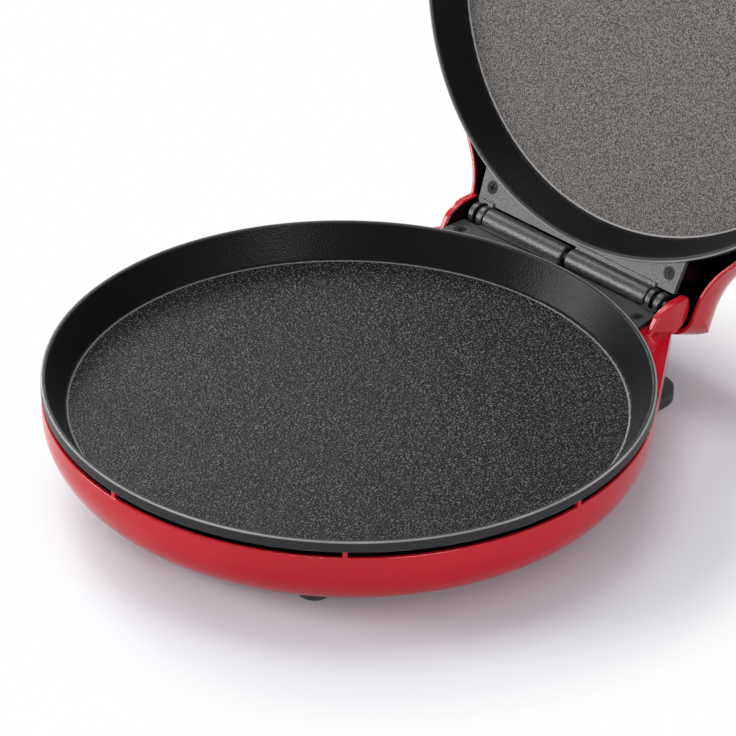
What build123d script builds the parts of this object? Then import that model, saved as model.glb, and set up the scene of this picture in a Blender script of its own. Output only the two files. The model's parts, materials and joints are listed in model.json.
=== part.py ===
from build123d import *
import math
import os

# Round countertop cooker with two shallow baking pans and a lid on a back hinge.
# Millimetres. X to the right, Y from the front to the hinge, Z up from the table.
# Every piece is drawn in the pan frame: the middle of a pan's rim at the origin,
# the pan hanging below it. The lid's pieces are drawn the same way and turned over.

# Stance
foot_height = 5.0
rim_gap = 0.5
open_angle = 113.2

# Baking pans, one casting used twice
floor_radius = 152.4
wall_run = 10.8
rim_land = 2.4
pan_depth = 18.4
pan_wall = 2.2
pan_floor = 2.6
floor_fillet = 2.5
skirt_height = 6.0
skirt_wall = 1.6
rim_rounding = 0.6
pan_boss_inset = 34.4
pan_boss_radius = 5.0
pan_boss_height = 8.0
pan_boss_count = 4

# Housings
rim_overhang = 0.3
housing_wall = 2.5
housing_edge = 10.0
housing_depth = 48.0
housing_rounding = 30.0
edge_rounding = 0.8
post_radius = 5.5
sink_depth = 4.0
nub_count = 5
nub_step = 47.7
nub_first = -99.7
nub_width = 2.6
nub_inset = 0.3
nub_gap = 0.3

# Base rear, with an ear beside each end of the hinge
ear_gap = 1.6
ear_width = 5.5
ear_splay = 2.0
ear_splay_length = 22.0
ear_foot = 8.0
ear_foot_rounding = 8.0
ear_foot_rise = 1.2
ear_slope_start = 2.4
ear_slope_run = 7.2
ear_slope_rise = 10.8
ear_hump_run = 7.5
ear_hump_rise = 4.5
ear_hump_rounding = 26.0
ear_brow_rounding = 3.8
ear_heel = 13.0
ear_rear_rounding = 2.5
ear_splay_rounding = 20.0
ear_rounding = 1.3
base_turn = 0.3
base_corner = 12.5
rear_wall_top = 19.6
trough_gap = 0.6
ledge_height = 3.4
ledge_draft = 62.0
skirt_gap = 0.8

# Lid rear, with a cheek outside each ear
cheek_gap = 1.5
cheek_length = 31.3
lid_blend = 46.0
lid_corner = 14.0

# Places along the cooker, counted from the housings' round part to the rear
hinge_offset = 9.7
leaf_rear_step = 7.4
leaf_screw_step = 17.0
ear_front_step = 25.0
ear_rear_step = 9.0
base_rear_step = 1.8
lid_rear_step = 16.0

# Hinge leaves, one casting used twice
leaf_drop = 1.55
leaf_thickness = 3.0
leaf_half_width = 74.4
leaf_taper = 1.4
leaf_rim_gap = 0.4
barrel_radius = 6.5
barrel_inner = 1.9
barrel_outer = 60.3
barrel_gap = 1.0
barrel_chamfer = 0.5
ring_width = 3.4
ring_slot = 3.1
riser_height = 1.1
riser_width = 1.6
leaf_screw_inset = 8.3
leaf_screw_hole = 16.0

# Hinge pin and the two clips that keep it in
pin_radius = 2.5
pin_clearance = 0.05
pin_overhang = 0.8
pin_groove = 0.5
pin_chamfer = 0.4
clip_thickness = 1.0
clip_radius = 4.6
clip_mouth = 3.2

# Screws
screw_radius = 1.9
screw_fit = 0.02
screw_play = 0.3
screw_grip = 7.0
head_radius = 3.7
head_height = 2.2
head_play = 0.5
recess_width = 0.9
recess_depth = 1.4
recess_reach = 1.1
head_dome = 0.9

# Heating elements
element_inset = 48.4
element_radius = 3.3
element_gap_angle = 36.0
element_bend = 9.0
element_leg = 3.0
element_play = 0.1
clamp_play = 0.35
clamp_count = 5
clamp_length = 12.0
clamp_thickness = 0.8
clamp_foot = 7.0

# Heat shields behind the elements
shield_inset = 14.4
shield_thickness = 0.8
shield_lip = 5.0
shield_window = 9.0

# Wiring pieces and controls
terminal_length = 34.0
terminal_width = 16.0
terminal_height = 7.0
terminal_chamfer = 0.8
terminal_back = 60.0
terminal_ways = 3
terminal_hole = 2.4
terminal_hole_depth = 4.0
thermostat_radius = 9.0
thermostat_height = 6.0
thermostat_flange = 28.0
thermostat_flange_width = 9.0
thermostat_flange_thickness = 1.2
thermostat_flange_corner = 3.6
fuse_radius = 2.4
fuse_length = 24.0
fuse_across = 52.0
fuse_chamfer = 1.4
gland_across = -40.0
gland_rise = 10.0
gland_radius = 4.6
gland_flange = 7.0
gland_flange_thickness = 2.0
gland_tail = 8.0
gland_bore = 3.3
gland_play = 0.1

# Feet
front_foot_inset = 32.3
front_foot_angle = 36.6
front_foot_radius = 9.0
foot_rounding = 1.2
foot_stem = 2.5
foot_stem_play = 0.1
foot_barb = 3.3
foot_barb_height = 3.0
rear_foot_inside = 47.0
rear_foot_outside = 87.0
rear_foot_length = 61.5
rear_foot_rear_step = 2.5
rear_foot_corner = 16.0
rear_foot_small_corner = 4.0
rear_foot_thickness = 7.0
rear_foot_floor = 2.0
rear_foot_post = 9.5
rear_foot_screw_across = 58.0
rear_foot_screw_step = 49.0

# Front of the lid
handle_width = 118.0
handle_reach = 34.0
handle_low = 16.5
handle_height = 15.0
handle_crown = 12.0
handle_corner = 12.0
handle_wall = 3.0
handle_rounding = 2.5
handle_screw_spacing = 56.0
handle_screw_seat = 8.0
bracket_thickness = 1.2
bracket_back = 8.8
bracket_half_width = 36.0
bracket_strip = 18.0
bracket_top = 21.4
wall_boss_radius = 5.0
handle_boss_radius = 6.0
handle_screw_height = 25.2
lamp_spacing = 26.0
lamp_inset = 53.3
lamp_radius = 4.0
lamp_rise = 1.6
lamp_rounding = 1.4
lamp_flange = 1.4
lamp_flange_width = 1.4
lamp_play = 0.1
neon_radius = 2.2
neon_length = 6.0
neon_rounding = 1.8
holder_length = 46.0
holder_width = 14.0
holder_height = 9.0
holder_wall = 1.5
holder_corner = 2.0

# Sizes worked out from the driving ones
rim_radius = floor_radius + wall_run
rim_outer = rim_radius + rim_land
skirt_inside = rim_outer - skirt_wall
wall_slope = wall_run / pan_depth
wall_outside = rim_radius + pan_wall * math.hypot(1, wall_slope)
pan_bottom = pan_depth + pan_floor
pan_boss_circle = floor_radius - pan_boss_inset
boss_end = pan_bottom + pan_boss_height
element_circle = floor_radius - element_inset
element_depth = pan_bottom + element_play + element_radius
shield_radius = floor_radius - shield_inset
shield_bottom = boss_end + shield_thickness

housing_radius = rim_outer - rim_overhang
inner_floor = housing_depth - housing_wall
rim_height = housing_depth + foot_height
hinge_back = housing_radius + hinge_offset
hinge_height = rim_height + rim_gap / 2
axis_rise = rim_gap / 2
ear_front = hinge_back - ear_front_step
ear_rear = hinge_back + ear_rear_step
ear_inside = leaf_half_width + ear_gap
ear_outside = ear_inside + ear_width
base_rear = hinge_back + base_rear_step
base_turn_point = ear_inside + base_turn, base_rear
lid_rear = hinge_back + lid_rear_step
cheek_outside = ear_outside + cheek_gap + housing_wall
lid_turn_point = cheek_outside, lid_rear - cheek_length

leaf_seat = leaf_drop + leaf_thickness
leaf_rear = hinge_back - leaf_rear_step
leaf_screw_spacing = 2 * (leaf_half_width - leaf_screw_inset)
leaf_screw_back = hinge_back - leaf_screw_step
ring_start = barrel_outer + barrel_gap
ring_end = ring_start + 2 * ring_width + ring_slot
slot_middle = ring_start + ring_width + ring_slot / 2
gland_depth = housing_depth - gland_rise
front_foot_circle = housing_radius - front_foot_inset
rear_foot_rear = hinge_back + rear_foot_rear_step
rear_foot_front = rear_foot_rear - rear_foot_length
rear_foot_screw_back = hinge_back - rear_foot_screw_step
bracket_front = housing_radius - housing_wall - bracket_back
lamp_front = housing_radius - lamp_inset

# Plan of each housing: where its shoulder turns, its rear, its blend and its corner
base_plan = base_turn_point, base_rear, 0, base_corner
lid_plan = lid_turn_point, lid_rear, lid_blend, lid_corner


# Placing

def on_base(shape):
    """Set a shape from the pan frame into the base."""
    return Pos(0, 0, rim_height) * shape


def on_lid(shape):
    """Turn a shape over into the lid, then swing the lid open about the hinge."""
    closed = Pos(0, 0, rim_height + rim_gap) * Rot(0, 180, 0) * shape
    swing = Pos(0, hinge_back, hinge_height) * Rot(-open_angle, 0, 0)
    return swing * Pos(0, -hinge_back, -hinge_height) * closed


def write(name, setting, *shapes):
    """Write one piece, or one group of like pieces, to its own file."""
    solids = [solid for shape in shapes for solid in setting(shape).solids()]
    export_step(Compound(children=solids), f"parts/{name}.step")


# Simple forms

def rod(radius, length, x=0, y=0, top=0):
    """A round bar that hangs down from the height called top."""
    hang = Align.CENTER, Align.CENTER, Align.MAX
    return Pos(x, y, top) * Cylinder(radius, length, align=hang)


def block(x, y, z):
    """A box between the low and high values along each axis."""
    low = Align.MIN, Align.MIN, Align.MIN
    return Pos(x[0], y[0], z[0]) * Box(x[1] - x[0], y[1] - y[0], z[1] - z[0], align=low)


def across(radius, low, high, y, z):
    """A round bar along X."""
    bar = Rot(0, 90, 0) * Cylinder(radius, high - low)
    return Pos((low + high) / 2, y, z) * bar


def along(radius, front, back, x, z):
    """A round bar along Y."""
    bar = Rot(90, 0, 0) * Cylinder(radius, back - front)
    return Pos(x, (front + back) / 2, z) * bar


def lathe(points):
    """A closed outline of radius and height, turned about the pan's axis."""
    return revolve(make_face(Plane.XZ * Polyline(points, close=True)), Axis.Z)


def mirrored(shape):
    """A shape and its mirror image on the other side of the cooker."""
    return [shape, mirror(shape, Plane.YZ)]


def boss_places():
    """Where the pans' screw bosses stand."""
    step = 2 * math.pi / pan_boss_count
    angles = [step * (index + 0.5) for index in range(pan_boss_count)]
    return [(pan_boss_circle * math.cos(a), pan_boss_circle * math.sin(a)) for a in angles]


def side_places(spacing, y):
    """Two places, left and right, at the same distance back."""
    return [(-spacing / 2, y), (spacing / 2, y)]


# Screws

def make_screw(length, flat=False):
    """A cross-recess screw: top of the head at the origin, shank hanging down."""
    middle = Pos(0, 0, -head_height / 2)
    if flat:
        head = middle * Cone(screw_radius, head_radius, head_height)
    else:
        head = middle * Cylinder(head_radius, head_height)
        head = fillet(head.edges().group_by(Axis.Z)[-1], head_dome)
    slot = Box(recess_width, head_radius * recess_reach, 2 * recess_depth)
    shank = rod(screw_radius, length - head_height, top=-head_height)
    return head + shank - slot - Rot(0, 0, 90) * slot


def upward(shape, x, y, z):
    """Turn a screw to point up, with the top of its head at a place."""
    return Pos(x, y, z) * Rot(180, 0, 0) * shape


# Baking pan

def make_pan():
    """Shallow round pan with a flat rim, a hanging skirt and its screw bosses."""
    pan = lathe([
        (0, -pan_depth),
        (floor_radius, -pan_depth),
        (rim_radius, 0),
        (rim_outer, 0),
        (rim_outer, -skirt_height),
        (skirt_inside, -skirt_height),
        (skirt_inside, (skirt_inside - wall_outside) / wall_slope),
        (wall_outside - wall_slope * pan_bottom, -pan_bottom),
        (0, -pan_bottom),
    ])
    round_edges = pan.edges().filter_by(GeomType.CIRCLE)
    corner = [edge for edge in round_edges if abs(edge.radius - floor_radius) < 0.01]
    pan = fillet(corner, floor_fillet)
    pan = fillet(pan.edges().group_by(Axis.Z)[-1], rim_rounding)
    half_notch = leaf_half_width + leaf_rim_gap
    notch = block(
        (-half_notch, half_notch),
        (rim_outer / 2, rim_outer + 1),
        (-skirt_height - 1, -leaf_drop + leaf_rim_gap),
    )
    pan -= notch - rod(skirt_inside, skirt_height + 1)
    for x, y in boss_places():
        pan += rod(pan_boss_radius, pan_boss_height, x, y, -pan_bottom)
        pan -= rod(screw_radius + screw_fit, pan_boss_height, x, y, -pan_bottom)
    return pan


# Heating element and what holds it

def make_element():
    """Sheathed ring under the pan, open at the back, with both ends bent down."""
    half_gap = math.radians(element_gap_angle / 2)
    end = Vector(math.sin(half_gap), math.cos(half_gap), 0) * element_circle
    end -= Vector(0, 0, element_depth)
    onward = Vector(-math.cos(half_gap), math.sin(half_gap), 0) * element_bend
    down = Vector(0, 0, -element_bend)
    low = end + onward + down
    rise = math.sqrt(0.5)
    bend = ThreePointArc(low, end + onward * rise + down * (1 - rise), end)
    leg = Line(low - Vector(0, 0, element_leg), low)
    ring = ThreePointArc(end, (0, -element_circle, -element_depth), (-end.X, end.Y, end.Z))
    path = Curve() + [leg, bend, ring, mirror(bend, Plane.YZ), mirror(leg, Plane.YZ)]
    section = Plane(leg @ 0, z_dir=(0, 0, 1)) * Circle(element_radius)
    return sweep(section, path)


def make_clamps():
    """Thin straps that hold the element up against the pan."""
    inner = element_radius + clamp_play
    outer = inner + clamp_thickness
    drop = element_radius + element_play
    reach = outer + clamp_foot
    flat = clamp_thickness
    arch = Pos(0, -drop) * Circle(outer) + Pos(0, -drop / 2) * Rectangle(2 * outer, drop)
    feet = Pos(0, -flat / 2) * Rectangle(2 * reach, flat)
    hollow = Pos(0, -drop) * Circle(inner) + Pos(0, -drop / 2) * Rectangle(2 * inner, drop)
    above = Pos(0, outer) * Rectangle(2 * outer, 2 * outer)
    strap = extrude(Plane.XZ * (arch + feet - hollow - above), clamp_length / 2, both=True)
    strap = Pos(element_circle, 0, -pan_bottom) * strap
    turn = 360 / clamp_count
    return [Rot(0, 0, 270 + turn * index) * strap for index in range(clamp_count)]


def make_shield():
    """Dished sheet behind the element, seated on the pan's bosses."""
    lip_inside = shield_radius - shield_thickness
    shield = lathe([
        (0, -boss_end),
        (lip_inside, -boss_end),
        (lip_inside, -boss_end + shield_lip),
        (shield_radius, -boss_end + shield_lip),
        (shield_radius, -shield_bottom),
        (0, -shield_bottom),
    ])
    for x, y in boss_places():
        shield -= rod(screw_radius + screw_play, shield_thickness, x, y, -boss_end)
    leg_across = element_circle * math.sin(math.radians(element_gap_angle / 2))
    leg_back = element_circle * math.cos(math.radians(element_gap_angle / 2))
    window = block(
        (-leg_across, leg_across),
        (leg_back - shield_window, leg_back + shield_window),
        (-shield_bottom, -boss_end),
    )
    return shield - window


def make_base_screws():
    """Long screws from under the base, through the posts and into the pan."""
    seat = inner_floor - sink_depth
    screw = make_screw(seat - boss_end + screw_grip + head_height)
    return [upward(screw, x, y, -seat - head_height) for x, y in boss_places()]


def make_shield_screws():
    """Short screws that hold the upper shield, and the bracket at its front."""
    screws = []
    for x, y in boss_places():
        stack = bracket_thickness if y < 0 else 0
        screw = make_screw(screw_grip + shield_thickness + stack + head_height)
        screws.append(upward(screw, x, y, -shield_bottom - stack - head_height))
    return screws


# Hinge

def make_leaf():
    """Hinge leaf: a plate beside the pan, a long barrel left, a slotted one right."""
    rim_side = rim_outer - leaf_rim_gap
    front = math.sqrt(rim_side**2 - leaf_half_width**2)
    rear_half = leaf_half_width - leaf_taper
    plate = make_face(Polyline(
        (-leaf_half_width, front),
        (leaf_half_width, front),
        (rear_half, leaf_rear),
        (-rear_half, leaf_rear),
        close=True,
    ))
    leaf = extrude(Pos(0, 0, -leaf_seat) * plate, leaf_thickness)
    leaf -= rod(rim_side, leaf_seat + 1)
    for low, high in [(-barrel_outer, -barrel_inner), (ring_start, ring_end)]:
        leaf += block(
            (low, high),
            (leaf_rear - riser_width, hinge_back),
            (-leaf_seat, -leaf_drop + riser_height),
        )
        barrel = across(barrel_radius, low, high, hinge_back, axis_rise)
        ends = barrel.edges().filter_by(GeomType.CIRCLE)
        leaf += chamfer(ends, barrel_chamfer)
    leaf -= block(
        (ring_start + ring_width, ring_end - ring_width),
        (leaf_rear, hinge_back + barrel_radius + 1),
        (-leaf_seat - barrel_radius, barrel_radius + axis_rise + 1),
    )
    bore = pin_radius + pin_clearance
    leaf -= across(bore, -barrel_outer - 1, ring_end + 1, hinge_back, axis_rise)
    sink = Pos(0, 0, -head_height / 2)
    sink *= Cone(screw_radius + screw_play, head_radius + screw_play, head_height)
    for x, y in side_places(leaf_screw_spacing, leaf_screw_back):
        leaf -= Pos(x, y, -leaf_drop) * sink
        leaf -= rod(screw_radius + screw_play, leaf_thickness, x, y, -leaf_drop)
    return leaf


def make_leaf_screws():
    """Countersunk screws that fix a leaf to its housing's posts."""
    screw = make_screw(leaf_thickness + screw_grip + head_height, flat=True)
    places = side_places(leaf_screw_spacing, leaf_screw_back)
    return [Pos(x, y, -leaf_drop - screw_play / 2) * screw for x, y in places]


def make_pin():
    """Hinge pin through both leaves, with a groove for each clip."""
    half = ring_end + pin_overhang
    pin = across(pin_radius, -half, half, hinge_back, axis_rise)
    pin = chamfer(pin.edges().filter_by(GeomType.CIRCLE), pin_chamfer)
    half_groove = clip_thickness / 2 + pin_clearance
    for middle in (-slot_middle, slot_middle):
        low = middle - half_groove
        high = middle + half_groove
        ring = across(pin_radius + 1, low, high, hinge_back, axis_rise)
        pin -= ring - across(pin_radius - pin_groove, low, high, hinge_back, axis_rise)
    return pin


def make_clips():
    """Open spring clips that snap into the pin's grooves."""
    clip = Cylinder(clip_radius, clip_thickness)
    clip -= Cylinder(pin_radius - pin_groove + pin_clearance, clip_thickness)
    mouth = Box(clip_radius, clip_mouth, clip_thickness, align=(Align.MIN, Align.CENTER, Align.CENTER))
    clip = Rot(0, 90, 0) * (clip - mouth)
    return [Pos(x, hinge_back, axis_rise) * clip for x in (-slot_middle, slot_middle)]


# Housings

def shoulder_angle(turn):
    """Where the circle is left by a straight shoulder that runs through a point."""
    return math.atan2(turn[1], turn[0]) - math.acos(housing_radius / math.hypot(*turn))


def housing_outline(plan, inset, longer=0):
    """Plan of a housing: a circle that runs into two straight shoulders at the back."""
    turn, rear, blend, _ = plan
    radius = housing_radius - inset
    back = rear - inset + longer
    angle = shoulder_angle(turn)
    right = [(radius * math.cos(angle), radius * math.sin(angle))]
    if blend:
        cheek = turn[0] - inset
        knee = (radius - cheek * math.cos(angle)) / math.sin(angle)
        right += [(cheek, knee), (cheek, back)]
    else:
        right += [((radius - back * math.sin(angle)) / math.cos(angle), back)]
    left = [(-x, y) for x, y in reversed(right)]
    front = ThreePointArc(left[-1], (0, -radius), right[0])
    outline = make_face([front, Polyline(right + left)])
    if blend:
        knees = outline.vertices().filter_by(lambda v: abs(v.Y - knee) < 0.01)
        outline = fillet(knees, blend + inset)
    return outline


def rounded_outline(plan, inset=0):
    """The same plan with its two rear corners rounded."""
    rear = plan[1] - inset
    outline = housing_outline(plan, inset)
    corners = outline.vertices().filter_by(lambda v: abs(v.Y - rear) < 0.01)
    return fillet(corners, plan[3] - inset)


def bowl(plan, inset=0):
    """A solid bowl: side walls, then its back wall, then its rear corners rounded."""
    depth = housing_depth - inset
    rounding = housing_rounding - inset
    rear = plan[1] - inset
    height = depth - housing_edge
    sides = extrude(Pos(0, 0, -depth) * housing_outline(plan, inset, housing_rounding), height)
    sides = fillet(sides.edges().group_by(Axis.Z)[0], rounding)
    profile = Pos((rear - housing_radius) / 2, -depth + height / 2)
    profile *= Rectangle(rear + housing_radius, height)
    low_rear = profile.vertices().sort_by(lambda v: v.X - v.Y)[-1]
    back = extrude(Plane.YZ * fillet(low_rear, rounding), housing_radius, both=True)
    walls = extrude(Pos(0, 0, -depth) * rounded_outline(plan, inset), height)
    return walls & back & sides


def shell(plan):
    """An open bowl with walls of one thickness and a rounded edge."""
    hollow = bowl(plan) - bowl(plan, housing_wall)
    return fillet(hollow.edges().group_by(Axis.Z)[-1], edge_rounding)


def add_leaf_posts(housing, inside):
    """Posts on the housing's floor that take the leaf's screws."""
    for x, y in side_places(leaf_screw_spacing, leaf_screw_back):
        housing += rod(post_radius, housing_depth - leaf_seat, x, y, -leaf_seat) & inside
        housing -= rod(screw_radius + screw_fit, leaf_screw_hole, x, y, -leaf_seat)
    return housing


def make_ear():
    """Ear beside the hinge's end: a hump with a round heel, splayed at its front."""
    front = ear_front - ear_foot
    foot = -housing_edge + ear_foot_rise
    slope_foot = ear_front + ear_slope_start, foot
    slope_top = slope_foot[0] + ear_slope_run, foot + ear_slope_rise
    hump = slope_top[0] + ear_hump_run, slope_top[1] + ear_hump_rise
    heel = axis_rise - ear_heel
    side = make_face(Polyline(
        (front, heel),
        (front, foot),
        slope_foot,
        slope_top,
        hump,
        (ear_rear, hump[1]),
        (ear_rear, heel),
        close=True,
    ))
    for place, radius in [
        (slope_foot, ear_foot_rounding),
        (slope_top, ear_brow_rounding),
        (hump, ear_hump_rounding),
        ((ear_rear, hump[1]), ear_rear_rounding),
        ((ear_rear, heel), ear_heel),
    ]:
        side = fillet(side.vertices().sort_by_distance(place)[0], radius)
    splay_end = ear_front + ear_splay_length
    before = ear_splay * (splay_end - front) / ear_splay_length
    plan = make_face(Polyline(
        (ear_inside, front),
        (ear_outside - before, front),
        (ear_outside, splay_end),
        (ear_outside, ear_rear),
        (ear_inside, ear_rear),
        close=True,
    ))
    crease = plan.vertices().sort_by_distance((ear_outside, splay_end))[0]
    plan = fillet(crease, ear_splay_rounding)
    ear = extrude(Plane.YZ * side, ear_outside) & extrude(plan, housing_depth, both=True)
    lengthwise = ear.edges().filter_by(lambda e: abs(e.tangent_at(0.5).X) < 0.5)
    creases = ear.edges().filter_by(Axis.Z).filter_by(lambda e: e.center().Y < ear_rear - ear_rounding)
    return fillet(lengthwise - creases, ear_rounding)


def make_ledges():
    """Low ledges that close the base between the pan and its straight shoulders."""
    ledges = []
    for inset in (0, housing_wall):
        outline = housing_outline(base_plan, inset)
        drop = inset * math.tan(math.radians(ledge_draft / 2))
        bottom = -housing_edge - drop
        sill = extrude(Pos(0, 0, bottom - edge_rounding) * outline, edge_rounding)
        rise = ledge_height - inset + drop
        slope = extrude(Pos(0, 0, bottom) * outline, rise, taper=ledge_draft)
        room = rod(rim_outer + skirt_gap + inset, housing_depth)
        side = block((ear_inside, rim_outer), (0, base_rear), (-housing_depth, 0))
        ledges.append((sill + slope) & side - room)
    return mirrored(ledges[0] - ledges[1])


def make_trough():
    """Seat under the hinge leaf, and the wall that falls from it behind the hinge."""
    front = math.sqrt(rim_outer**2 - ear_inside**2) - housing_wall
    crest = leaf_rear + trough_gap
    outline = make_face(Polyline(
        (front, -leaf_seat),
        (crest, -leaf_seat),
        (base_rear, -rear_wall_top),
        (base_rear, -rear_wall_top - housing_wall),
        (base_rear - housing_wall, -rear_wall_top - housing_wall),
        (crest - housing_wall / 2, -leaf_seat - housing_wall),
        (front, -leaf_seat - housing_wall),
        close=True,
    ))
    trough = extrude(Plane.YZ * outline, ear_inside, both=True)
    trough &= extrude(rounded_outline(base_plan), -housing_depth)
    return trough - rod(rim_outer + skirt_gap, housing_depth)


def make_base_housing():
    """Base shell with its shoulders, ears, edge nubs, hinge seat and screw posts."""
    housing = shell(base_plan)
    housing -= block(
        (-ear_inside, ear_inside),
        (base_rear - 2 * housing_wall, base_rear + 1),
        (-rear_wall_top, 0),
    )
    for piece in make_ledges() + mirrored(make_ear()) + [make_trough()]:
        housing += piece
    nub = block(
        (-nub_width / 2, nub_width / 2),
        (-housing_radius + nub_inset, -housing_radius + housing_wall),
        (-housing_edge - edge_rounding, -skirt_height - nub_gap),
    )
    for index in range(nub_count):
        housing += Rot(0, 0, nub_first + nub_step * index) * nub
    inside = bowl(base_plan, housing_wall / 2)
    housing = add_leaf_posts(housing, inside)
    for x, y in boss_places():
        housing += rod(post_radius, housing_depth - shield_bottom, x, y, -shield_bottom) & inside
        housing -= rod(screw_radius + screw_play, housing_depth, x, y, -shield_bottom)
        sink = inner_floor - sink_depth
        housing -= rod(head_radius + head_play, sink_depth + housing_wall, x, y, -sink)
    for x, y in front_foot_places():
        housing -= rod(foot_stem, housing_depth, x, y, -boss_end)
    for x, y in rear_foot_screw_places():
        top = -inner_floor + rear_foot_post
        housing += rod(post_radius, rear_foot_post + 1, x, y, top)
        housing -= rod(screw_radius + screw_fit, rear_foot_post + 1 + housing_wall, x, y, top - 1)
    return housing - along(gland_radius + gland_play, 0, base_rear + 1, gland_across, -gland_depth)


def make_lid_housing():
    """Lid shell with cheeks, leaf screw posts, front bosses and lamp holes."""
    housing = shell(lid_plan)
    inside = bowl(lid_plan, housing_wall / 2)
    housing = add_leaf_posts(housing, inside)
    for x in (-handle_screw_spacing / 2, handle_screw_spacing / 2):
        boss = along(wall_boss_radius, -housing_radius, -bracket_front, x, -handle_screw_height)
        housing += boss & inside
        hole = screw_radius + screw_play
        housing -= along(hole, -housing_radius - 1, -bracket_front, x, -handle_screw_height)
    for x, y in lamp_places():
        housing -= rod(lamp_radius + lamp_play, 2 * housing_wall, x, y, -inner_floor + 1)
    return housing


# Feet and cord gland

def front_foot_places():
    """Where the two round feet stand."""
    angle = math.radians(front_foot_angle)
    return side_places(2 * front_foot_circle * math.sin(angle), -front_foot_circle * math.cos(angle))


def rear_foot_screw_places():
    """Where the two rear feet are screwed to the base."""
    return side_places(2 * rear_foot_screw_across, rear_foot_screw_back)


def make_front_feet():
    """Round rubber feet pushed into holes in the base by their barbed stems."""
    pad_top = -housing_depth + housing_wall
    pad = rod(front_foot_radius, foot_height + housing_wall, top=pad_top)
    pad = fillet(pad.edges().group_by(Axis.Z)[0], foot_rounding)
    stem = rod(foot_stem - foot_stem_play, 2 * housing_wall + foot_barb_height, top=-inner_floor + 1)
    barb = Pos(0, 0, -inner_floor + foot_stem_play + foot_barb_height / 2)
    barb *= Cone(foot_barb, foot_stem - foot_stem_play - 1, foot_barb_height)
    under = bowl(base_plan)
    return [Pos(x, y, 0) * pad - under + Pos(x, y, 0) * (stem + barb) for x, y in front_foot_places()]


def make_rear_feet():
    """Flat feet that reach out behind the base, so that the open lid can't tip it."""
    length = rear_foot_rear - rear_foot_front
    width = rear_foot_outside - rear_foot_inside
    middle = (rear_foot_inside + rear_foot_outside) / 2, (rear_foot_front + rear_foot_rear) / 2
    outline = Pos(*middle) * Rectangle(width, length)
    outer_rear = outline.vertices().sort_by(lambda v: v.X + v.Y)[-1]
    outline = fillet(outer_rear, rear_foot_corner)
    corners = outline.vertices().filter_by(lambda v: min(
        abs(v.X - rear_foot_inside),
        abs(v.Y - rear_foot_front),
    ) < 0.01)
    outline = fillet(corners, rear_foot_small_corner)
    foot = extrude(Pos(0, 0, -rim_height) * outline, rear_foot_thickness)
    foot = fillet(foot.edges().group_by(Axis.Z)[0], foot_rounding)
    foot -= bowl(base_plan)
    x, y = rear_foot_screw_places()[1]
    foot -= rod(screw_radius + screw_play, foot_height, x, y, -housing_depth)
    foot -= rod(head_radius + head_play, foot_height, x, y, -housing_depth - rear_foot_floor)
    return mirrored(foot)


def make_rear_foot_screws():
    """Screws from below through the rear feet into the base's posts."""
    seat = housing_depth + rear_foot_floor
    screw = make_screw(head_height + rear_foot_floor + housing_wall + screw_grip)
    return [upward(screw, x, y, -seat - head_height) for x, y in rear_foot_screw_places()]


def make_gland():
    """Strain relief in the back of the base, empty, with its bore open."""
    start = base_rear - housing_rounding + gland_flange
    finish = base_rear + gland_tail
    face = base_rear - gland_flange_thickness
    gland = along(gland_flange, start, face, gland_across, -gland_depth)
    gland -= bowl(base_plan)
    tail = Rot(-90, 0, 0) * Cone(gland_flange - 1, gland_radius, finish - face)
    gland += Pos(gland_across, (finish + face) / 2, -gland_depth) * tail
    gland += along(gland_radius, start - housing_wall, face, gland_across, -gland_depth)
    return gland - along(gland_bore, start - 2 * housing_wall, finish + 1, gland_across, -gland_depth)


# Wiring pieces and controls

def make_terminal_block():
    """Block on the base's floor that joins the mains leads to the elements."""
    terminal = Pos(0, terminal_back, -inner_floor + terminal_height / 2)
    terminal *= Box(terminal_length, terminal_width, terminal_height)
    terminal = chamfer(terminal.edges().group_by(Axis.Z)[-1], terminal_chamfer)
    pitch = terminal_length / terminal_ways
    for index in range(terminal_ways):
        x = pitch * (index - (terminal_ways - 1) / 2)
        for y in (terminal_back - terminal_width / 4, terminal_back + terminal_width / 4):
            terminal -= rod(terminal_hole, terminal_hole_depth, x, y, -inner_floor + terminal_height)
    return terminal


def make_thermostat():
    """Snap-disc thermostat clamped to the middle of the upper pan."""
    flange = Rectangle(thermostat_flange, thermostat_flange_width)
    plate = extrude(Pos(0, 0, -pan_bottom) * flange, -thermostat_flange_thickness)
    plate = fillet(plate.edges().filter_by(Axis.Z), thermostat_flange_corner)
    return plate + rod(thermostat_radius, thermostat_height, top=-pan_bottom)


def make_fuse():
    """Thermal fuse that lies against the lower pan."""
    half = fuse_length / 2
    fuse = along(fuse_radius, -half, half, 0, 0)
    ends = fuse.edges().filter_by(GeomType.CIRCLE)
    fuse = chamfer(ends, fuse_chamfer)
    return Pos(fuse_across, 0, -pan_bottom - fuse_radius - element_play) * fuse


def lamp_places():
    """Where the two lamps show at the front of the lid."""
    return side_places(lamp_spacing, -lamp_front)


def make_lamp_lens():
    """Clear lens through the lid, with a flange on the inside."""
    lens = rod(lamp_radius, housing_wall + lamp_rise, top=-inner_floor)
    lens = fillet(lens.edges().group_by(Axis.Z)[0], lamp_rounding)
    return lens + rod(lamp_radius + lamp_flange_width, lamp_flange, top=-inner_floor + lamp_flange)


def make_neon_lamps():
    """Small glass lamps behind the lenses."""
    lamp = rod(neon_radius, neon_length, top=-inner_floor + holder_height - holder_wall)
    lamp = fillet(lamp.edges().group_by(Axis.Z)[0], neon_rounding)
    return [Pos(x, y, 0) * lamp for x, y in lamp_places()]


def make_lamp_holder():
    """Open-bottomed holder that covers both lamps inside the lid."""
    seat = Pos(0, -lamp_front, -inner_floor)
    grow = Align.CENTER, Align.CENTER, Align.MIN
    holder = seat * Box(holder_length, holder_width, holder_height, align=grow)
    holder = fillet(holder.edges().filter_by(Axis.Z), holder_corner)
    inner = holder_length - 2 * holder_wall, holder_width - 2 * holder_wall
    return holder - seat * Box(*inner, holder_height - holder_wall, align=grow)


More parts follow.
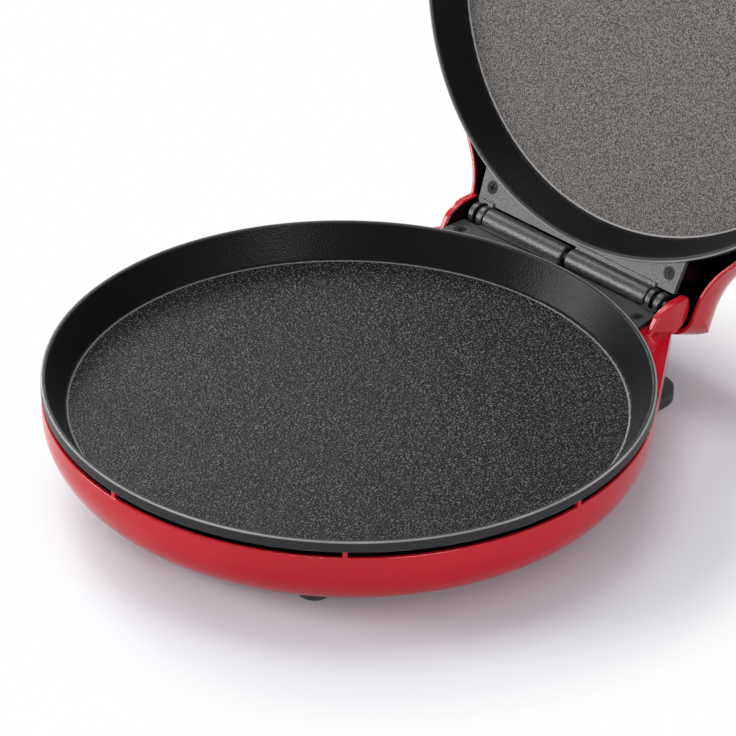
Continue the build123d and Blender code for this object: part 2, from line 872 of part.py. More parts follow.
# Front of the lid

def make_bracket():
    """Sheet bracket from the shield's two front screws to the handle's screws."""
    boss_across, boss_front = max(boss_places()), min(y for _, y in boss_places())
    half_strip = boss_across[0] + bracket_strip / 2
    sheet = -shield_bottom - bracket_thickness, -shield_bottom
    strip = (boss_front - bracket_strip / 2, boss_front + bracket_strip / 2)
    bracket = block((-half_strip, half_strip), strip, sheet)
    half = bracket_half_width
    bracket += block((-half, half), (-bracket_front, boss_front), sheet)
    flange = -bracket_front, -bracket_front + bracket_thickness
    bracket += block((-half, half), flange, (sheet[0], -bracket_top))
    for x, y in boss_places():
        bracket -= rod(screw_radius + screw_play, bracket_thickness, x, y, -shield_bottom)
    for x in (-handle_screw_spacing / 2, handle_screw_spacing / 2):
        bracket -= along(screw_radius + screw_fit, -bracket_front, 0, x, -handle_screw_height)
    return bracket


def make_handle():
    """Curved lip handle, hollow towards the rim, with two screw bosses in it."""
    half = handle_width / 2
    front = -housing_radius - handle_reach
    corner = front + handle_crown
    outline = make_face([
        ThreePointArc((-half, corner), (0, front), (half, corner)),
        Polyline((half, corner), (half, -shield_radius), (-half, -shield_radius), (-half, corner)),
    ])
    outline = fillet(outline.vertices().group_by(Axis.Y)[0], handle_corner)
    top = -handle_low - handle_height
    handle = extrude(Pos(0, 0, top) * outline, handle_height)
    handle = fillet(handle.faces().sort_by(Axis.Z)[0].edges(), handle_rounding)
    pocket = extrude(Pos(0, 0, top + handle_wall) * offset(outline, -handle_wall), handle_height)
    pocket -= rod(housing_radius + handle_wall, housing_depth)
    screw_middle = -handle_screw_height
    seat = -housing_radius - handle_screw_seat
    bores = []
    for x in (-handle_screw_spacing / 2, handle_screw_spacing / 2):
        pocket -= along(handle_boss_radius, front, 0, x, screw_middle)
        bores.append(along(head_radius + head_play, front - 1, seat, x, screw_middle))
        bores.append(along(screw_radius + screw_play, seat, -shield_radius, x, screw_middle))
    handle -= pocket
    for bore in bores:
        handle -= bore
    return handle - bowl(lid_plan)


def make_handle_screws():
    """Screws through the handle and the lid's wall into the bracket."""
    seat = -housing_radius - handle_screw_seat
    reach = -bracket_front + bracket_thickness + 1 - seat
    screw = Rot(90, 0, 0) * make_screw(head_height + reach)
    places = (-handle_screw_spacing / 2, handle_screw_spacing / 2)
    return [Pos(x, seat - head_height, -handle_screw_height) * screw for x in places]


# The whole cooker

if __name__ == "__main__":
    os.makedirs("parts", exist_ok=True)

    pan = make_pan()
    element = make_element()
    clamps = make_clamps()
    shield = make_shield()
    leaf = make_leaf()
    leaf_screws = make_leaf_screws()

    write("base_housing", on_base, make_base_housing())
    write("front_feet", on_base, *make_front_feet())
    write("rear_feet", on_base, *make_rear_feet())
    write("rear_foot_screws", on_base, *make_rear_foot_screws())
    write("cord_gland", on_base, make_gland())
    write("lower_pan", on_base, pan)
    write("lower_heating_element", on_base, element)
    write("lower_element_clamps", on_base, *clamps)
    write("lower_heat_shield", on_base, shield)
    write("lower_pan_screws", on_base, *make_base_screws())
    write("thermal_fuse", on_base, make_fuse())
    write("terminal_block", on_base, make_terminal_block())
    write("lower_hinge_leaf", on_base, leaf)
    write("lower_leaf_screws", on_base, *leaf_screws)
    write("hinge_pin", on_base, make_pin())
    write("hinge_clips", on_base, *make_clips())

    write("lid_housing", on_lid, make_lid_housing())
    write("upper_pan", on_lid, pan)
    write("upper_heating_element", on_lid, element)
    write("upper_element_clamps", on_lid, *clamps)
    write("upper_heat_shield", on_lid, shield)
    write("upper_shield_screws", on_lid, *make_shield_screws())
    write("thermostat", on_lid, make_thermostat())
    write("upper_hinge_leaf", on_lid, leaf)
    write("upper_leaf_screws", on_lid, *leaf_screws)
    write("lid_front_bracket", on_lid, make_bracket())
    write("lid_handle", on_lid, make_handle())
    write("handle_screws", on_lid, *make_handle_screws())
    lens = make_lamp_lens()
    for name, (x, y) in zip(("ready_lamp_lens", "power_lamp_lens"), lamp_places()):
        write(name, on_lid, Pos(x, y, 0) * lens)
    write("neon_lamps", on_lid, *make_neon_lamps())
    write("lamp_holder", on_lid, make_lamp_holder())
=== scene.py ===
import json
import math

import bpy
from mathutils import Euler, Matrix, Vector


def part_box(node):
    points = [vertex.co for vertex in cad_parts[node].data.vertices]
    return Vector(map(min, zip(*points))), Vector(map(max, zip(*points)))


# The looks of a round countertop cooker with its lid open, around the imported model.
# Metres, in the model's frame: the origin is on the table under the lower pan.

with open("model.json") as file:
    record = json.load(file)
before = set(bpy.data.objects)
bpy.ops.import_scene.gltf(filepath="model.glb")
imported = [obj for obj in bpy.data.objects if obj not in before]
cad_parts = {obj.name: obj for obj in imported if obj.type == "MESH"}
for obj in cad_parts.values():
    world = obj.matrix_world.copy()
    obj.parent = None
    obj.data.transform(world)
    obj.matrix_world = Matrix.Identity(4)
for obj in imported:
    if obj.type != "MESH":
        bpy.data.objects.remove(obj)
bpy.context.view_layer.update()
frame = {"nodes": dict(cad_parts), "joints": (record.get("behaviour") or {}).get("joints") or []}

# Camera, solved from the circles of the lower pan
image_side = 736
view_turn = math.radians(43.395)
view_rise = math.radians(31.447)
view_roll = math.radians(1.074)
view_distance = 3.3858
view_target = Vector((0.00245, 0.01209, 0.053))
focal_pixels = 6293.2
sensor_width = 36.0

# Places read from the model
hinge = frame["joints"][0]
hinge_place = Vector(hinge["pos_m"])
open_angle = math.radians(hinge["range_deg"][1])
lower_pan_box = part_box("lower_pan")
rim_height = lower_pan_box[1][2]
rim_gap = 2 * (hinge_place.z - rim_height)

# Pan zones, from the pan's middle outwards, and the depth of its floor under the rim
corner_radius = 0.1513
floor_radius = 0.1524
rim_radius = 0.1632
pan_depth = 0.0184

# Lid shell, for the mask of the shade painted on its inside
shell_radius = 0.1653
shell_wall = 0.0025
shell_depth = 0.048
shell_rounding = 0.030
edge_depth = 0.010
cheek_outside = 0.0855
cheek_length = 0.0313
cheek_start = 0.12
lid_rear = 0.191
lid_corner = 0.014
lid_blend = 0.046
wall_fade = 0.0004
edge_fade = (0.0002, 0.0012)
well_within = (0.004, 0.005)

# Hinge barrels, and the ears of the base beside them
barrel_radius = 0.0065
ear_start = 0.13
ear_foot = 0.036
ear_fade = 0.004

# Stage: the floor's half width, the oval round the cooker's shadow with its fade, and the sky's light
floor_half = 6.0
shadow_middle = (0.06, 0.02)
shadow_reach = (0.195, 0.245)
shadow_fade = (0.72, 1.12)
sky_strength = 0.56

# Colours, in linear light
white = (1.0, 1.0, 1.0)
cool_white = (0.96, 0.97, 1.0)
paper_low = (0.61, 0.615, 0.66)
paper_high = (0.64, 0.645, 0.69)
red = (0.385, 0.005, 0.013)
red_low = (0.365, 0.0042, 0.0115)
red_high = (0.405, 0.0062, 0.0150)
red_rubbed = (0.62, 0.10, 0.12)
red_dusty = (0.6, 0.5, 0.5)
# Painted shade for the lid's inside and the ears' inner faces
red_shaded = (0.010, 0.002, 0.003)
coating_wall = (0.0035, 0.0035, 0.0038)
coating_skirt = (0.06, 0.062, 0.064)
# Painted highlight along the crest of the pans' rims
crest_highlight = (0.32, 0.33, 0.33)
coating_rubbed = (0.24, 0.24, 0.25)
barrel_low = (0.006, 0.006, 0.007)
barrel_high = (0.045, 0.045, 0.047)
paint_rubbed = (0.20, 0.20, 0.21)
metal_rubbed = (0.7, 0.7, 0.7)
plastic_dusty = (0.35, 0.35, 0.34)


def shade(color, share):
    """A colour made darker or lighter."""
    return tuple(c * share for c in color)


# Node helpers

class Tree:
    """A node tree that lays out its nodes as they are made."""

    columns = 8
    column_width = 190
    row_height = 260

    def __init__(self, tree):
        self.tree = tree
        self.count = 0

    def node(self, kind, inputs=(), **settings):
        """Makes a node, sets its properties, and fills or links its inputs."""
        made = self.tree.nodes.new(kind)
        row, column = divmod(self.count, self.columns)
        made.location = (column * self.column_width, -row * self.row_height)
        self.count += 1
        for name, value in settings.items():
            setattr(made, name, value)
        self.feed(made, inputs)
        return made

    def feed(self, made, inputs):
        """Fills or links a node's inputs, given by name or place."""
        for name, value in dict(inputs).items():
            self.give(made.inputs[name], value)

    def give(self, socket, value):
        """Links a socket to another one, or sets it to a plain value."""
        if isinstance(value, bpy.types.NodeSocket):
            self.tree.links.new(value, socket)
        else:
            socket.default_value = value

    def math(self, operation, *values):
        """The result of one math step."""
        return self.node("ShaderNodeMath", enumerate(values), operation=operation).outputs[0]

    def chain(self, operation, first, *rest):
        """One math step carried through a row of values."""
        for value in rest:
            first = self.math(operation, first, value)
        return first

    def add_share(self, base, value, share):
        """A base with a share of a value added."""
        return self.math("ADD", self.math("MULTIPLY", value, share), base)

    def measure(self, operation, *vectors):
        """A length, a distance or a dot product."""
        return self.node("ShaderNodeVectorMath", enumerate(vectors), operation=operation).outputs["Value"]

    def split(self, place):
        """The X, Y and Z of a place or a direction."""
        return self.node("ShaderNodeSeparateXYZ", {0: place}).outputs

    def join(self, x, y):
        """A flat place from its X and Y."""
        return self.node("ShaderNodeCombineXYZ", {0: x, 1: y}).outputs[0]

    def from_axis(self, parts):
        """How far a place, given by its parts, is from the upright axis."""
        squares = [self.math("MULTIPLY", parts[name], parts[name]) for name in "XY"]
        return self.math("SQRT", self.math("ADD", *squares))

    def mapped(self, place, **settings):
        """A place shifted, turned or scaled."""
        return self.node("ShaderNodeMapping", {"Vector": place, **settings}).outputs[0]

    def moved(self, place, steps):
        """A place carried through a row of shifts and turns."""
        for shift, turn in steps:
            place = self.mapped(place, Location=shift, Rotation=turn)
        return place

    def ramp(self, value, low, high, start=0.0, end=1.0, smooth=True):
        """A value mapped from one range to another and held at its ends."""
        inputs = {"Value": value, "From Min": low, "From Max": high, "To Min": start, "To Max": end}
        kind = "SMOOTHSTEP" if smooth else "LINEAR"
        return self.node("ShaderNodeMapRange", inputs, interpolation_type=kind).outputs["Result"]

    def noise(self, place, scale, detail, distortion=0.0):
        """A cloudy value between 0 and 1."""
        inputs = {"Vector": place, "Scale": scale, "Detail": detail, "Distortion": distortion}
        return self.node("ShaderNodeTexNoise", inputs).outputs["Fac"]

    def bump(self, height, strength, distance):
        """The normal that a height gives."""
        inputs = {"Height": height, "Strength": strength, "Distance": distance}
        return self.node("ShaderNodeBump", inputs).outputs["Normal"]

    def mix(self, factor, first, second):
        """A blend of two colours, each a plain one or a socket."""
        made = self.node("ShaderNodeMix", data_type="RGBA")
        for name, value in (("Factor", factor), ("A", first), ("B", second)):
            socket = next(s for s in made.inputs if s.name == name and s.enabled)
            self.give(socket, (*value, 1) if isinstance(value, tuple) else value)
        return next(s for s in made.outputs if s.enabled)

    def lay(self, color, mask, share, over):
        """A colour with a share of another one laid over it where a mask says so."""
        return self.mix(self.math("MULTIPLY", mask, share), color, over)

    def group(self, shared, **inputs):
        """The outputs of a placed shared group."""
        return self.node("ShaderNodeGroup", inputs, node_tree=shared).outputs

    def seen(self):
        """1 for what the camera sees, straight, mirrored or through a lens, and 0 for light."""
        rays = self.node("ShaderNodeLightPath").outputs
        kinds = ("Is Camera Ray", "Is Glossy Ray", "Is Transmission Ray")
        return self.chain("MAXIMUM", *(rays[kind] for kind in kinds))


# Shared effects

FLOAT = "NodeSocketFloat"
VECTOR = "NodeSocketVector"


def new_group(name, outputs, **numbers):
    """An empty shader group that takes a place and named numbers: its tree, inputs and output node."""
    tree = bpy.data.node_groups.new(name, "ShaderNodeTree")
    tree.interface.new_socket(name="Place", in_out="INPUT", socket_type=VECTOR)
    for socket, value in numbers.items():
        made = tree.interface.new_socket(name=socket, in_out="INPUT", socket_type=FLOAT)
        made.default_value = value
    for socket, kind in outputs.items():
        tree.interface.new_socket(name=socket, in_out="OUTPUT", socket_type=kind)
    work = Tree(tree)
    source = work.node("NodeGroupInput")
    sink = work.node("NodeGroupOutput")
    return work, source.outputs, sink


def make_grain():
    """Fine moulded or cast grain: a height, and the normal that it gives."""
    work, given, sink = new_group(
        "fine_grain", {"Normal": VECTOR, "Height": FLOAT}, Cell=0.001, Depth=0.00005, Amount=1.0)
    scale = work.math("DIVIDE", 1.0, given["Cell"])
    cells = work.node("ShaderNodeTexVoronoi", {"Vector": given["Place"], "Scale": scale},
                      feature="SMOOTH_F1")
    soft = work.noise(given["Place"], scale, 2.0)
    height = work.math("ADD", work.math("MULTIPLY", cells.outputs["Distance"], -0.8),
                       work.math("MULTIPLY", soft, 0.6))
    normal = work.bump(height, given["Amount"], given["Depth"])
    work.feed(sink, {"Normal": normal, "Height": height})
    return work.tree


def make_wear():
    """Where a surface's edges are rubbed: up to 1 on a sharp edge, 0 away from it."""
    work, given, sink = new_group("edge_wear", {"Wear": FLOAT}, Width=0.001)
    flat = work.node("ShaderNodeNewGeometry").outputs["Normal"]
    rounded = work.node("ShaderNodeBevel", {"Radius": given["Width"]}, samples=4).outputs["Normal"]
    edge = work.ramp(work.measure("DOT_PRODUCT", flat, rounded), 0.995, 0.86)
    patches = work.ramp(work.noise(given["Place"], 70.0, 5.0), 0.38, 0.66)
    work.feed(sink, {"Wear": work.math("MULTIPLY", edge, patches)})
    return work.tree


def make_dust():
    """Faint dust that settles on what faces up, and smudges all over."""
    work, given, sink = new_group("dust_and_smudges", {"Dust": FLOAT, "Smudge": FLOAT})
    faces = work.split(work.node("ShaderNodeNewGeometry").outputs["Normal"])
    specks = work.ramp(work.noise(given["Place"], 420.0, 6.0), 0.56, 0.75)
    dust = work.math("MULTIPLY", work.ramp(faces["Z"], 0.3, 1.0), specks)
    patches = work.noise(given["Place"], 14.0, 4.0, distortion=0.6)
    work.feed(sink, {"Dust": dust, "Smudge": work.ramp(patches, 0.35, 0.7)})
    return work.tree


def make_pan_place():
    """A place in the pan's own frame: distance from its middle, and depth under its rim."""
    work, given, sink = new_group("pan_place", {"Radius": FLOAT, "Depth": FLOAT})
    parts = work.split(given["Place"])
    work.feed(sink, {"Radius": work.from_axis(parts), "Depth": work.math("MULTIPLY", parts["Z"], -1.0)})
    return work.tree


def make_shell_shade():
    """1 where shade is painted on the inside of the lid's shell, from a place in the lid's frame, mouth
    up.

    The shoulder and the blend aren't ended at the rear, so the middle of the outer rear face and a
    thin line above it count as inside too and get the painted shade. The rest of the outside is 0.
    """
    work, given, sink = new_group("painted_shade_in_shell", {"Inside": FLOAT})
    parts = work.split(given["Place"])
    side_x = work.math("ABSOLUTE", parts["X"])
    side = work.join(side_x, parts["Y"])
    depth = work.math("MULTIPLY", parts["Z"], -1.0)

    # How far within the outline the middle of the wall is: more where it rounds over at the top
    beneath = work.math("MAXIMUM", work.math("SUBTRACT", depth, shell_depth - shell_rounding), 0.0)
    square = work.math("SUBTRACT", shell_rounding ** 2, work.math("MULTIPLY", beneath, beneath))
    chord = work.math("SQRT", work.math("MAXIMUM", square, 0.0))
    pulled_in = work.math("SUBTRACT", shell_rounding, chord)
    margin = work.math("ADD", pulled_in, shell_wall / 2)

    # The shoulder runs straight from the round wall to the knee, and an arc blends it with the cheek
    knee = lid_rear - cheek_length
    angle = math.atan2(knee, cheek_outside) - math.acos(shell_radius / math.hypot(knee, cheek_outside))
    outwards = Vector((math.cos(angle), math.sin(angle), 0.0))
    rearwards = Vector((-math.sin(angle), math.cos(angle), 0.0))
    middle = Vector((cheek_outside + lid_blend, knee + lid_blend * math.tan(angle / 2), 0.0))
    along = work.measure("DOT_PRODUCT", side, rearwards)
    across = work.measure("DOT_PRODUCT", side, outwards)

    # How far within the outline a place is, by each part of the outline
    round_wall = work.math("SUBTRACT", shell_radius, work.from_axis(parts))
    shoulder = work.math("MULTIPLY", work.math("SUBTRACT", shell_radius, across),
                         work.math("GREATER_THAN", along, 0.0))
    away = work.measure("DISTANCE", side, middle)
    blend = work.chain("MULTIPLY", work.math("SUBTRACT", away, lid_blend),
                       work.math("GREATER_THAN", along, middle.dot(rearwards)),
                       work.math("LESS_THAN", parts["Y"], middle.y))
    over_x = work.math("SUBTRACT", side_x, cheek_outside - lid_corner)
    over_y = work.math("SUBTRACT", parts["Y"], lid_rear - lid_corner)
    beyond = work.join(work.math("MAXIMUM", over_x, 0.0), work.math("MAXIMUM", over_y, 0.0))
    short = work.math("MINIMUM", work.math("MAXIMUM", over_x, over_y), 0.0)
    past_corner = work.math("ADD", work.measure("LENGTH", beyond), short)
    cheek = work.math("MULTIPLY", work.math("SUBTRACT", lid_corner, past_corner),
                      work.math("GREATER_THAN", parts["Y"], cheek_start))
    within = work.chain("MAXIMUM", round_wall, shoulder, blend, cheek)

    # Inside the wall, deeper than the mouth's edge or well within the outline, and short of the top
    walls = work.ramp(work.math("SUBTRACT", within, margin), -wall_fade, wall_fade)
    deeper = work.ramp(depth, *(edge_depth + step for step in edge_fade))
    mouth = work.math("MAXIMUM", deeper, work.ramp(within, *well_within))
    short_of_top = work.ramp(depth, shell_depth - shell_wall / 2, shell_depth - shell_wall)
    work.feed(sink, {"Inside": work.chain("MULTIPLY", walls, mouth, short_of_top)})
    return work.tree


def make_ear_shade():
    """1 where shade is painted on the inner faces of the two ears beside the hinge, 0 elsewhere on the
    base.
    """
    work, given, sink = new_group("painted_shade_on_ears", {"Inside": FLOAT})
    parts = work.split(given["Place"])
    faces = work.split(work.node("ShaderNodeNewGeometry").outputs["Normal"])
    outwards = work.math("MULTIPLY", faces["X"], work.math("SIGN", parts["X"]))
    inner = work.ramp(outwards, -0.45, -0.85)
    rear = work.math("GREATER_THAN", parts["Y"], ear_start)
    high = work.ramp(parts["Z"], ear_foot, ear_foot + ear_fade)
    work.feed(sink, {"Inside": work.chain("MULTIPLY", inner, rear, high)})
    return work.tree


grain_group = make_grain()
wear_group = make_wear()
dust_group = make_dust()
pan_group = make_pan_place()
shell_shade_group = make_shell_shade()
ear_shade_group = make_ear_shade()


# Materials

def new_material(name, color, roughness, **settings):
    """A material: its tree, its Principled shader and the surface's own place."""
    material = bpy.data.materials.new(name)
    material.use_nodes = True
    material.diffuse_color = (*color, 1)
    material.node_tree.nodes.clear()
    work = Tree(material.node_tree)
    place = work.node("ShaderNodeTexCoord").outputs["Object"]
    shader = work.node("ShaderNodeBsdfPrincipled", {"Base Color": (*color, 1), "Roughness": roughness})
    work.feed(shader, {socket.replace("_", " "): value for socket, value in settings.items()})
    work.node("ShaderNodeOutputMaterial", {"Surface": shader.outputs[0]})
    return material, work, shader, place


def red_shell(name, place_of_lid=None):
    """Glossy moulded red plastic, with shade painted near-black red where the mask of the lid's inside or
    of the ears' inner faces is 1.
    """
    material, work, shader, place = new_material(name, red, 0.14, Specular_IOR_Level=0.28, IOR=1.5)
    dust = work.group(dust_group, Place=place)
    wear = work.group(wear_group, Place=place, Width=0.0008)
    color = work.mix(work.ramp(work.noise(place, 9.0, 3.0), 0.3, 0.7), red_low, red_high)
    color = work.lay(color, wear["Wear"], 0.15, red_rubbed)
    color = work.lay(color, dust["Dust"], 0.03, red_dusty)
    # Painted shade: the lid's inside, or the ears' inner faces on the base, are darkened to near-black
    # red
    if place_of_lid:
        inside = work.group(shell_shade_group, Place=work.moved(place, place_of_lid))["Inside"]
    else:
        inside = work.group(ear_shade_group, Place=place)["Inside"]
    color = work.mix(inside, color, red_shaded)
    rough = work.add_share(0.11, dust["Dust"], 0.2)
    rough = work.add_share(rough, dust["Smudge"], 0.05)
    normal = work.bump(work.noise(place, 260.0, 1.0), 0.08, 0.0003)
    work.feed(shader, {"Base Color": color, "Roughness": rough, "Normal": normal})
    return material


def pan_coating(name, place_of_pan, floor_dark, pebble_highlight, cell, peak_range):
    """Non-stick coating: pebbled on the floor, smoother on the wall, rubbed at its edges, with painted
    highlights on the pebbles' peaks and along the rim's crest.
    """
    material, work, shader, place = new_material(
        name, floor_dark, 0.42, Specular_IOR_Level=0.07, IOR=1.5)
    pan = work.group(pan_group, Place=work.moved(place, place_of_pan))
    on_floor = work.math(
        "MULTIPLY",
        work.ramp(pan["Radius"], floor_radius - 0.0006, floor_radius - 0.0018),
        work.ramp(pan["Depth"], pan_depth - 0.001, pan_depth - 0.0004),
    )
    grain = work.group(grain_group, Place=place, Cell=cell, Depth=cell * 0.6,
                       Amount=work.add_share(0.2, on_floor, 0.8))
    wear = work.group(wear_group, Place=place, Width=0.0006)
    dust = work.group(dust_group, Place=place)
    # Painted highlights: the pebbles' peaks are laid lighter than the floor's dark tone
    peaks = work.ramp(grain["Height"], *peak_range, smooth=False)
    color = work.mix(on_floor, coating_wall, work.mix(peaks, floor_dark, pebble_highlight))

    # The skirt, the ring where the floor turns up and rubbed edges are paler, and a grainy highlight is
    # painted along the crest of the rim
    skirt = work.ramp(pan["Radius"], rim_radius - 0.0007, rim_radius + 0.0001)
    color = work.lay(color, skirt, 0.4, coating_skirt)
    crest = work.math("MULTIPLY", work.ramp(pan["Radius"], rim_radius + 0.0011, rim_radius + 0.0018),
                      work.ramp(pan["Depth"], 0.0009, 0.0004))
    color = work.lay(color, crest, work.ramp(dust["Smudge"], 0.0, 1.0, 0.55, 0.80), crest_highlight)
    off = work.math("ABSOLUTE", work.math("SUBTRACT", pan["Radius"], corner_radius))
    ring = work.math("MULTIPLY", work.ramp(off, 0.0007, 0.0002),
                     work.ramp(pan["Depth"], pan_depth - 0.003, pan_depth - 0.001))
    color = work.lay(color, ring, 0.6, shade(pebble_highlight, 1.8))
    color = work.lay(color, wear["Wear"], 0.5, coating_rubbed)

    rough = work.add_share(0.30, dust["Smudge"], 0.06)
    rough = work.add_share(rough, on_floor, 0.14)
    work.feed(shader, {"Base Color": color, "Roughness": rough, "Normal": grain["Normal"]})
    return material


def hinge_paint(name, plate_color):
    """Black paint on a casting: grained on the plate, smoother and of its own tone on the barrels."""
    material, work, shader, place = new_material(
        name, plate_color, 0.42, Specular_IOR_Level=0.5, IOR=1.5)
    flat = work.mapped(place, Scale=(0.0, 1.0, 1.0))
    away = work.measure("DISTANCE", flat, (0.0, hinge_place.y, hinge_place.z))
    barrel = work.ramp(away, barrel_radius + 0.0008, barrel_radius + 0.0002)
    grain = work.group(grain_group, Place=place, Cell=0.0007, Depth=0.00020,
                       Amount=work.ramp(barrel, 0.0, 1.0, 0.8, 0.6, smooth=False))
    wear = work.group(wear_group, Place=place, Width=0.0007)
    dust = work.group(dust_group, Place=place)
    peaks = work.ramp(grain["Height"], -0.10, 0.20)
    color = work.mix(barrel, work.mix(peaks, shade(plate_color, 0.45), shade(plate_color, 1.6)),
                     work.mix(peaks, barrel_low, barrel_high))
    color = work.lay(color, wear["Wear"], 0.35, paint_rubbed)
    rough = work.add_share(
        work.ramp(barrel, 0.0, 1.0, 0.42, 0.32, smooth=False), dust["Smudge"], 0.06)
    work.feed(shader, {"Base Color": color, "Roughness": rough, "Normal": grain["Normal"]})
    return material


def brushed(name, color, roughness, metallic=1.0, rubbed=0.4, specular=0.5):
    """Worked metal, bright or blackened, with fine drawn lines, smudges and rubbed edges."""
    material, work, shader, place = new_material(
        name, color, roughness, Metallic=metallic, Specular_IOR_Level=specular)
    lines = work.noise(work.mapped(place, Scale=(60.0, 1800.0, 1800.0)), 1.0, 3.0)
    dust = work.group(dust_group, Place=place)
    wear = work.group(wear_group, Place=place, Width=0.0004)
    base = work.lay(work.mix(lines, shade(color, 0.75), color), wear["Wear"], rubbed, metal_rubbed)
    rough = work.add_share(roughness, dust["Smudge"], 0.12)
    normal = work.bump(lines, 0.25, 0.00005)
    work.feed(shader, {"Base Color": base, "Roughness": rough, "Normal": normal})
    return material


def moulded(name, color, roughness):
    """Moulded plastic or rubber with a fine grain."""
    material, work, shader, place = new_material(name, color, roughness, IOR=1.48)
    grain = work.group(grain_group, Place=place, Cell=0.0007, Depth=0.0001, Amount=0.35)
    wear = work.group(wear_group, Place=place, Width=0.001)
    dust = work.group(dust_group, Place=place)
    base = work.lay(color, wear["Wear"], 0.3, tuple(c * 2.2 + 0.03 for c in color))
    base = work.lay(base, dust["Dust"], 0.08, plastic_dusty)
    rough = work.add_share(roughness, dust["Smudge"], 0.08)
    work.feed(shader, {"Base Color": base, "Roughness": rough, "Normal": grain["Normal"]})
    return material


def lens(name, color):
    """Clear tinted lens."""
    material, work, shader, place = new_material(
        name, color, 0.08, Transmission_Weight=0.75, IOR=1.49)
    dust = work.group(dust_group, Place=place)
    tint = work.mix(dust["Smudge"], color, shade(color, 0.85))
    work.feed(shader, {"Base Color": tint, "Roughness": work.add_share(0.05, dust["Smudge"], 0.06)})
    return material


def dress(material, *nodes):
    """Gives every slot of some CAD nodes one material."""
    for node in nodes:
        for slot in frame["nodes"][node].material_slots:
            slot.material = material


def dress_all():
    """Every CAD node's material."""
    # Shifts and turns from the model's frame to each pan's own, with the rim at zero and the mouth up
    stay = (0.0, 0.0, 0.0)
    lower = [((0.0, 0.0, -rim_height), stay)]
    upper = [
        (-hinge_place, stay),
        (hinge_place, (open_angle, 0.0, 0.0)),
        ((0.0, 0.0, -rim_height - rim_gap), stay),
        (stay, (0.0, math.pi, 0.0)),
    ]
    dress(red_shell("base_red"), "base_housing")
    dress(red_shell("lid_red", upper), "lid_housing")
    dress(pan_coating("lower_coating", lower, (0.003, 0.003, 0.0032), (0.125, 0.120, 0.117),
                      cell=0.0011, peak_range=(0.0, 0.22)), "lower_pan")
    # Painted light: the upper pan gets a lighter, lit-looking copy of the lower pan's coating
    dress(pan_coating("upper_coating_lit", upper, (0.055, 0.051, 0.049), (0.240, 0.224, 0.215),
                      cell=0.0008, peak_range=(-0.16, 0.24)), "upper_pan")
    dress(hinge_paint("lower_leaf_paint", (0.008, 0.008, 0.009)), "lower_hinge_leaf")
    # Painted light: the upper leaf gets a lighter, lit-looking copy of the lower leaf's black paint
    dress(hinge_paint("upper_leaf_paint_lit", (0.058, 0.056, 0.056)), "upper_hinge_leaf")
    dress(brushed("pin_steel", (0.42, 0.42, 0.44), 0.3), "hinge_pin")
    dress(brushed("screw_steel", (0.007, 0.007, 0.008), 0.40, metallic=0.0, rubbed=0.25, specular=0.12),
          "lower_leaf_screws", "upper_leaf_screws", "lower_pan_screws", "upper_shield_screws",
          "rear_foot_screws", "handle_screws", "hinge_clips")
    dress(brushed("element_steel", (0.30, 0.26, 0.22), 0.42),
          "lower_heating_element", "upper_heating_element")
    dress(brushed("sheet_steel", (0.62, 0.62, 0.6), 0.34),
          "lower_element_clamps", "upper_element_clamps", "lower_heat_shield", "upper_heat_shield",
          "lid_front_bracket")
    dress(moulded("foot_rubber", (0.022, 0.022, 0.024), 0.7), "front_feet")
    dress(moulded("black_plastic", (0.018, 0.021, 0.023), 0.46),
          "rear_feet", "cord_gland", "terminal_block", "lid_handle", "thermostat", "lamp_holder")
    dress(brushed("fuse_body", (0.75, 0.75, 0.76), 0.25), "thermal_fuse")
    dress(lens("lens_red", (0.75, 0.03, 0.02)), "power_lamp_lens")
    dress(lens("lens_green", (0.04, 0.6, 0.10)), "ready_lamp_lens")
    dress(lens("lamp_glass", (0.95, 0.90, 0.85)), "neon_lamps")


# Stage

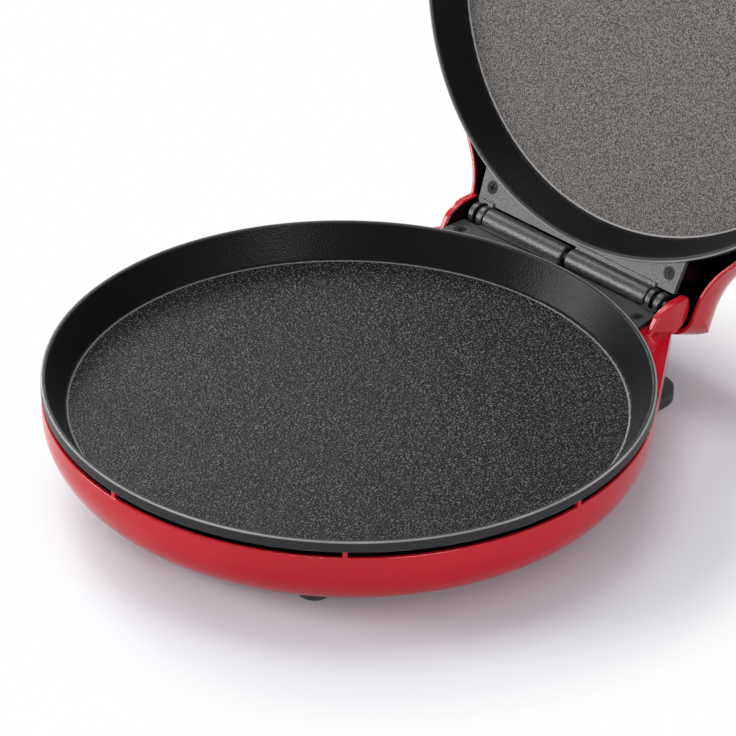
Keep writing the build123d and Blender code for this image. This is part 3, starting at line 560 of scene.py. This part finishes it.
def make_floor():
    """Pale floor that keeps the cooker's shadow and fades to white away from it."""
    mesh = bpy.data.meshes.new("floor")
    corners = [(-floor_half, -floor_half, 0), (floor_half, -floor_half, 0),
               (floor_half, floor_half, 0), (-floor_half, floor_half, 0)]
    mesh.from_pydata(corners, [], [(0, 1, 2, 3)])
    floor = bpy.data.objects.new("floor", mesh)
    bpy.context.scene.collection.objects.link(floor)
    material, work, shader, place = new_material("floor_paper", (0.62, 0.63, 0.67), 0.9)
    paper = work.mix(work.noise(place, 3.0, 2.0), paper_low, paper_high)
    work.feed(shader, {"Base Color": paper})
    shift = [-middle / reach for middle, reach in zip(shadow_middle, shadow_reach)]
    squeeze = [1 / reach for reach in shadow_reach]
    oval = work.mapped(place, Location=(*shift, 0.0), Scale=(*squeeze, 1.0))
    away = work.ramp(work.measure("LENGTH", oval), *shadow_fade)
    glow = work.node("ShaderNodeEmission", {"Color": (*white, 1), "Strength": 1.0})
    blend = work.node("ShaderNodeMixShader", {
        0: work.math("MULTIPLY", work.seen(), away), 1: shader.outputs[0], 2: glow.outputs[0]})
    out = next(n for n in work.tree.nodes if n.type == "OUTPUT_MATERIAL")
    work.feed(out, {"Surface": blend.outputs[0]})
    mesh.materials.append(material)


def make_world():
    """White studio: seen as plain white, lighting as soft cool white."""
    world = bpy.data.worlds.new("studio")
    bpy.context.scene.world = world
    world.use_nodes = True
    world.node_tree.nodes.clear()
    work = Tree(world.node_tree)
    seen = work.seen()
    color = work.mix(seen, cool_white, white)
    strength = work.ramp(seen, 0.0, 1.0, sky_strength, 1.0, smooth=False)
    sky = work.node("ShaderNodeBackground", {"Color": color, "Strength": strength})
    work.node("ShaderNodeOutputWorld", {"Surface": sky.outputs[0]})


def make_lamp(name, place, target, size, power):
    """A soft square white lamp that faces a place."""
    data = bpy.data.lights.new(name, "AREA")
    data.shape = "SQUARE"
    data.size = size
    data.energy = power
    lamp = bpy.data.objects.new(name, data)
    lamp.location = place
    lamp.rotation_euler = (Vector(place) - Vector(target)).to_track_quat("Z", "Y").to_euler()
    bpy.context.scene.collection.objects.link(lamp)


def make_camera():
    """The camera at the photograph's viewing angle."""
    data = bpy.data.cameras.new("camera")
    data.sensor_width = sensor_width
    data.lens = sensor_width * focal_pixels / image_side
    data.clip_end = 20.0
    camera = bpy.data.objects.new("camera", data)
    turn = Euler((math.pi / 2 - view_rise, 0.0, view_turn)).to_matrix()
    turn = turn @ Matrix.Rotation(view_roll, 3, "Z")
    place = view_target + turn @ Vector((0, 0, view_distance))
    camera.matrix_world = Matrix.Translation(place) @ turn.to_4x4()
    bpy.context.scene.collection.objects.link(camera)
    bpy.context.scene.camera = camera


dress_all()
make_floor()
make_world()
make_lamp("top", place=(-0.9, 0.7, 2.3), target=(0, 0.05, 0.05), size=1.3, power=27)
make_lamp("left", place=(-2.2, -1.9, 0.8), target=(0, 0.1, 0.1), size=1.4, power=90)
make_lamp("right", place=(2.1, -0.7, 0.8), target=(0, 0.1, 0.05), size=0.8, power=26)
make_lamp("rear", place=(-1.45, 0.6, 0.85), target=(-0.1, -0.05, 0.04), size=0.45, power=20)
make_camera()
bpy.context.scene.view_settings.view_transform = "Standard"
